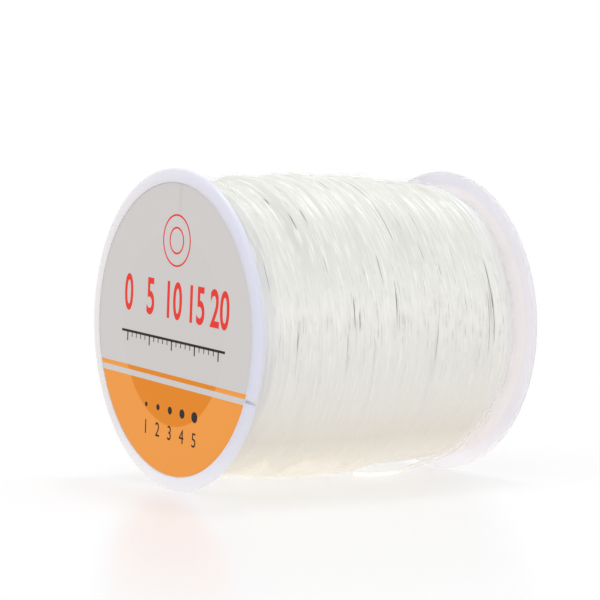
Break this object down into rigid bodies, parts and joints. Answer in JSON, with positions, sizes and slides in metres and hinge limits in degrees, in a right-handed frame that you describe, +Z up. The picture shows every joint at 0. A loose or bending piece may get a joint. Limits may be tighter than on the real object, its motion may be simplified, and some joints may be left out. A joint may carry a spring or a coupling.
{
  "type": "spool of elastic cord",
  "caption": "Round flanged spool wound full with clear elastic cord, with a paper disc on its front end and an open hub bore at its rear end.",
  "frame": {"origin": "middle of the spool, on its axis and halfway between its two ends", "axes": "+Y along the spool's axis, from the end with the paper disc to the open end; +Z up, with the spool lying on its two rims"},
  "size_m": [0.054, 0.0574, 0.0539],
  "materials": {
    "moulded_plastic": "satin, slightly translucent",
    "printed_paper": "coated paper with a semi-gloss face",
    "clear_cord": "clear and milky, glossy",
    "clear_film": "clear film"
  },
  "bodies": {
    "root": {"core_tube": "moulded_plastic", "front_end_cap": "moulded_plastic", "rear_end_cap": "moulded_plastic", "front_paper_disc": "printed_paper", "cord_inner_layers": "clear_cord", "cord_outer_turns": "clear_cord", "cord_free_end": "clear_cord", "clear_tape": "clear_film"}
  },
  "joints": []
}
